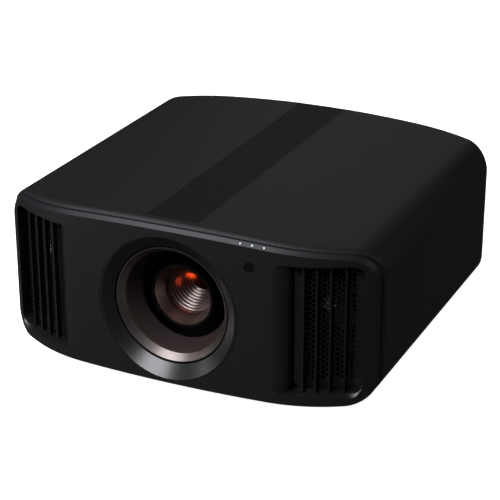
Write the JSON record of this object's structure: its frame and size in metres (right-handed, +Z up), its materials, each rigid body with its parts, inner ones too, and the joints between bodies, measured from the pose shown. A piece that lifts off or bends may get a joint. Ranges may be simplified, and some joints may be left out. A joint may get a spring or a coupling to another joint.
{
  "type": "home projector",
  "caption": "Large box-shaped home cinema projector with a recessed central zoom lens, finned front vents, a crowned top cover, rear sockets and keys, and adjustable front feet.",
  "frame": {"origin": "centre of the rectangle that the projector covers, on the surface that it stands on", "axes": "+Z up, the lens looks along -Y, and +X is to the right of a viewer who stands in front of the lens and looks at the front"},
  "size_m": [0.5, 0.495, 0.234],
  "materials": {
    "fascia_black": "semi-gloss",
    "trim_grey": "satin",
    "indicator_white": "gloss",
    "receiver_dark": "gloss",
    "recess_black": "satin",
    "bezel_bronze": "anodised",
    "shroud_black": "matte",
    "vent_black": "satin",
    "screen_steel": "perforated, painted",
    "casing_black": "fine textured matte",
    "band_black": "satin",
    "panel_black": "textured matte",
    "cover_black": "textured matte",
    "filter_foam": "open foam",
    "board_green": "solder mask",
    "socket_metal": "bright",
    "inlet_black": "moulded",
    "lamp_metal": "cast",
    "cast_metal": "cast",
    "prism_glass": "polished",
    "rod_steel": "ground",
    "carriage_metal": "cast",
    "barrel_black": "black anodised",
    "gear_black": "moulded",
    "pinion_brass": "cut",
    "motor_steel": "drawn",
    "cell_bronze": "anodised",
    "lens_glass": "coated",
    "fan_black": "moulded",
    "rotor_black": "moulded",
    "key_black": "satin",
    "foot_rubber": "matte",
    "foot_steel": "zinc plated",
    "screw_steel": "black plated"
  },
  "bodies": {
    "casing": {"front_fascia": "fascia_black", "fascia_trim": "trim_grey", "status_lights": "indicator_white", "receiver_windows": "receiver_dark", "lens_recess": "recess_black", "bezel_ring": "bezel_bronze", "lens_shroud": "shroud_black", "vent_fins_right": "vent_black", "vent_fins_left": "vent_black", "vent_screens": "screen_steel", "top_cover": "casing_black", "top_band": "band_black", "lower_case": "casing_black", "rear_panel": "panel_black", "main_board": "board_green", "signal_sockets": "socket_metal", "power_inlet": "inlet_black", "power_supply": "board_green", "lamp_unit": "lamp_metal", "light_engine": "cast_metal", "prism_block": "prism_glass", "shift_frame": "cast_metal", "shift_rods": "rod_steel", "fan_frames": "fan_black", "rear_feet": "foot_rubber", "case_screws": "screw_steel"},
    "vertical_shift": {"vertical_carriage": "carriage_metal", "cross_rods": "rod_steel"},
    "lens": {"horizontal_carriage": "carriage_metal", "lens_barrel": "barrel_black", "lens_motors": "motor_steel"},
    "focus_drive": {"focus_ring": "gear_black"},
    "zoom_drive": {"zoom_ring": "gear_black"},
    "focus_gear": {"focus_pinion": "pinion_brass"},
    "zoom_gear": {"zoom_pinion": "pinion_brass"},
    "focus_optics": {"front_cell": "cell_bronze", "front_glass": "lens_glass"},
    "zoom_optics": {"zoom_group": "lens_glass"},
    "filter_right": {"filter_cover_right": "cover_black", "air_filter_right": "filter_foam"},
    "filter_left": {"filter_cover_left": "cover_black", "air_filter_left": "filter_foam"},
    "lamp_door": {"lamp_cover": "cover_black"},
    "exhaust_right": {"exhaust_fan_right": "rotor_black"},
    "exhaust_left": {"exhaust_fan_left": "rotor_black"},
    "intake_right": {"intake_fan_right": "rotor_black"},
    "intake_left": {"intake_fan_left": "rotor_black"},
    "pad_right": {"foot_pad_right": "foot_rubber"},
    "pad_left": {"foot_pad_left": "foot_rubber"},
    "screw_right": {"foot_screw_right": "foot_steel"},
    "screw_left": {"foot_screw_left": "foot_steel"},
    "key_up": {"key_up": "key_black"},
    "key_down": {"key_down": "key_black"},
    "key_left": {"key_left": "key_black"},
    "key_right": {"key_right": "key_black"},
    "key_enter": {"key_enter": "key_black"},
    "key_power": {"key_power": "key_black"},
    "key_source": {"key_source": "key_black"},
    "key_menu": {"key_menu": "key_black"},
    "key_back": {"key_back": "key_black"}
  },
  "joints": [
    {"name": "lens_shift_vertical", "type": "slide", "parent": "casing", "child": "vertical_shift", "axis": [0, 0, 1], "range_m": [-0.007, 0.007]},
    {"name": "lens_shift_horizontal", "type": "slide", "parent": "vertical_shift", "child": "lens", "axis": [1, 0, 0], "range_m": [-0.005, 0.005]},
    {"name": "focus_turn", "type": "hinge", "parent": "lens", "child": "focus_drive", "pos_m": [0, -0.161, 0.125], "axis": [0, 1, 0], "range_deg": [-45, 45]},
    {"name": "zoom_turn", "type": "hinge", "parent": "lens", "child": "zoom_drive", "pos_m": [0, -0.113, 0.125], "axis": [0, 1, 0], "range_deg": [-60, 60]},
    {"name": "focus_pinion_turn", "type": "hinge", "parent": "lens", "child": "focus_gear", "pos_m": [0.04915, -0.161, 0.125], "axis": [0, 1, 0], "range_deg": [-330, 330]},
    {"name": "zoom_pinion_turn", "type": "hinge", "parent": "lens", "child": "zoom_gear", "pos_m": [-0.04915, -0.113, 0.125], "axis": [0, 1, 0], "range_deg": [-440, 440]},
    {"name": "focus_travel", "type": "slide", "parent": "lens", "child": "focus_optics", "axis": [0, 1, 0], "range_m": [-0.0015, 0.0015]},
    {"name": "zoom_travel", "type": "slide", "parent": "lens", "child": "zoom_optics", "axis": [0, 1, 0], "range_m": [-0.012, 0.012]},
    {"name": "filter_cover_right_pull", "type": "slide", "parent": "casing", "child": "filter_right", "axis": [0, 1, 0], "range_m": [0, 0.03]},
    {"name": "filter_cover_left_pull", "type": "slide", "parent": "casing", "child": "filter_left", "axis": [0, 1, 0], "range_m": [0, 0.03]},
    {"name": "lamp_cover_pull", "type": "slide", "parent": "casing", "child": "lamp_door", "axis": [0, 1, 0], "range_m": [0, 0.02]},
    {"name": "exhaust_right_spin", "type": "hinge", "parent": "casing", "child": "exhaust_right", "pos_m": [0.194, -0.1555, 0.119], "axis": [0, 1, 0], "continuous": true},
    {"name": "exhaust_left_spin", "type": "hinge", "parent": "casing", "child": "exhaust_left", "pos_m": [-0.194, -0.1555, 0.119], "axis": [0, 1, 0], "continuous": true},
    {"name": "intake_right_spin", "type": "hinge", "parent": "casing", "child": "intake_right", "pos_m": [0.155, 0.1825, 0.119], "axis": [0, 1, 0], "continuous": true},
    {"name": "intake_left_spin", "type": "hinge", "parent": "casing", "child": "intake_left", "pos_m": [-0.155, 0.1825, 0.119], "axis": [0, 1, 0], "continuous": true},
    {"name": "foot_right_extend", "type": "slide", "parent": "casing", "child": "pad_right", "axis": [0, 0, -1], "range_m": [0, 0.012]},
    {"name": "foot_right_turn", "type": "hinge", "parent": "pad_right", "child": "screw_right", "pos_m": [0.165, -0.13, 0.02], "axis": [0, 0, -1], "range_deg": [0, 3456]},
    {"name": "foot_left_extend", "type": "slide", "parent": "casing", "child": "pad_left", "axis": [0, 0, -1], "range_m": [0, 0.012]},
    {"name": "foot_left_turn", "type": "hinge", "parent": "pad_left", "child": "screw_left", "pos_m": [-0.165, -0.13, 0.02], "axis": [0, 0, -1], "range_deg": [0, 3456]},
    {"name": "key_up_press", "type": "slide", "parent": "casing", "child": "key_up", "axis": [0, -1, 0], "range_m": [0, 0.0008], "stiffness_N_per_m": 500},
    {"name": "key_down_press", "type": "slide", "parent": "casing", "child": "key_down", "axis": [0, -1, 0], "range_m": [0, 0.0008], "stiffness_N_per_m": 500},
    {"name": "key_left_press", "type": "slide", "parent": "casing", "child": "key_left", "axis": [0, -1, 0], "range_m": [0, 0.0008], "stiffness_N_per_m": 500},
    {"name": "key_right_press", "type": "slide", "parent": "casing", "child": "key_right", "axis": [0, -1, 0], "range_m": [0, 0.0008], "stiffness_N_per_m": 500},
    {"name": "key_enter_press", "type": "slide", "parent": "casing", "child": "key_enter", "axis": [0, -1, 0], "range_m": [0, 0.0008], "stiffness_N_per_m": 500},
    {"name": "key_power_press", "type": "slide", "parent": "casing", "child": "key_power", "axis": [0, -1, 0], "range_m": [0, 0.0008], "stiffness_N_per_m": 500},
    {"name": "key_source_press", "type": "slide", "parent": "casing", "child": "key_source", "axis": [0, -1, 0], "range_m": [0, 0.0008], "stiffness_N_per_m": 500},
    {"name": "key_menu_press", "type": "slide", "parent": "casing", "child": "key_menu", "axis": [0, -1, 0], "range_m": [0, 0.0008], "stiffness_N_per_m": 500},
    {"name": "key_back_press", "type": "slide", "parent": "casing", "child": "key_back", "axis": [0, -1, 0], "range_m": [0, 0.0008], "stiffness_N_per_m": 500}
  ],
  "couplings": [
    {"joint": "focus_pinion_turn", "follows": "focus_turn", "ratio": -7.1667},
    {"joint": "zoom_pinion_turn", "follows": "zoom_turn", "ratio": -7.1667},
    {"joint": "focus_travel", "follows": "focus_turn", "m_per_rad": 0.0019079},
    {"joint": "zoom_travel", "follows": "zoom_turn", "m_per_rad": 0.011448},
    {"joint": "foot_right_extend", "follows": "foot_right_turn", "m_per_rad": 0.00019892},
    {"joint": "foot_left_extend", "follows": "foot_left_turn", "m_per_rad": 0.00019892}
  ]
}
